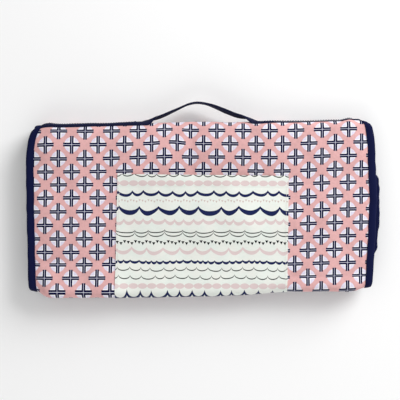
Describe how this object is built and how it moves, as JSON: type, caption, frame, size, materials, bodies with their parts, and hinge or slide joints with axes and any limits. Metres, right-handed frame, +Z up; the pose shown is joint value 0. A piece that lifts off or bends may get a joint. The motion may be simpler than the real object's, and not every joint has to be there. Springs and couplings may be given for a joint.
{
  "type": "changing pad",
  "caption": "Quilted fabric changing pad folded in three for carrying, with a bound edge, a patch pocket on the front and a strap handle on the top fold.",
  "frame": {"origin": "middle of the face that the folded pad rests on, under the middle of the front panel", "axes": "+X along the folds, to the right as the pocket is seen; +Y across the folds, towards the strap handle; +Z up, out of the pocket side"},
  "size_m": [0.406, 0.2245, 0.0348],
  "materials": {
    "cover_print": "matte",
    "pocket_print": "matte",
    "lining": "matte",
    "wadding": "matte",
    "binding": "matte",
    "strap": "matte",
    "hook_tape": "matte",
    "loop_tape": "matte"
  },
  "bodies": {
    "front_panel": {"front_cover": "cover_print", "front_core": "wadding", "front_lining": "lining", "front_binding_left": "binding", "front_binding_right": "binding", "pocket_panel": "pocket_print"},
    "top_fold": {"top_fold_cover": "cover_print", "top_fold_core": "wadding", "top_fold_lining": "lining", "top_fold_binding_left": "binding", "top_fold_binding_right": "binding", "strap_end_left": "strap", "strap_end_right": "strap"},
    "back_flap": {"back_flap_cover": "cover_print", "back_flap_core": "wadding", "back_flap_lining": "lining", "back_flap_binding": "binding", "hook_patches": "hook_tape"},
    "bottom_fold": {"bottom_fold_cover": "cover_print", "bottom_fold_core": "wadding", "bottom_fold_lining": "lining", "bottom_fold_binding_left": "binding", "bottom_fold_binding_right": "binding"},
    "inner_flap": {"inner_flap_cover": "cover_print", "inner_flap_core": "wadding", "inner_flap_lining": "lining", "inner_flap_binding": "binding", "loop_patches": "loop_tape"},
    "handle": {"handle_strap": "strap"}
  },
  "joints": [
    {"name": "top_fold_front_hinge", "type": "hinge", "parent": "front_panel", "child": "top_fold", "pos_m": [0, 0.09825, 0.02525], "axis": [1, 0, 0], "range_deg": [0, 90]},
    {"name": "top_fold_back_hinge", "type": "hinge", "parent": "top_fold", "child": "back_flap", "pos_m": [0, 0.09825, 0.00275], "axis": [1, 0, 0], "range_deg": [0, 90]},
    {"name": "bottom_fold_front_hinge", "type": "hinge", "parent": "front_panel", "child": "bottom_fold", "pos_m": [0, -0.09825, 0.02525], "axis": [-1, 0, 0], "range_deg": [0, 90]},
    {"name": "bottom_fold_inner_hinge", "type": "hinge", "parent": "bottom_fold", "child": "inner_flap", "pos_m": [0, -0.09825, 0.01375], "axis": [-1, 0, 0], "range_deg": [0, 90]},
    {"name": "handle_swing", "type": "hinge", "parent": "top_fold", "child": "handle", "pos_m": [-0.00175, 0.101, 0.0175], "axis": [1, 0, 0], "range_deg": [-30, 30]}
  ],
  "couplings": [
    {"joint": "top_fold_back_hinge", "follows": "top_fold_front_hinge", "ratio": 1},
    {"joint": "bottom_fold_front_hinge", "follows": "top_fold_front_hinge", "ratio": 1},
    {"joint": "bottom_fold_inner_hinge", "follows": "top_fold_front_hinge", "ratio": 1}
  ]
}
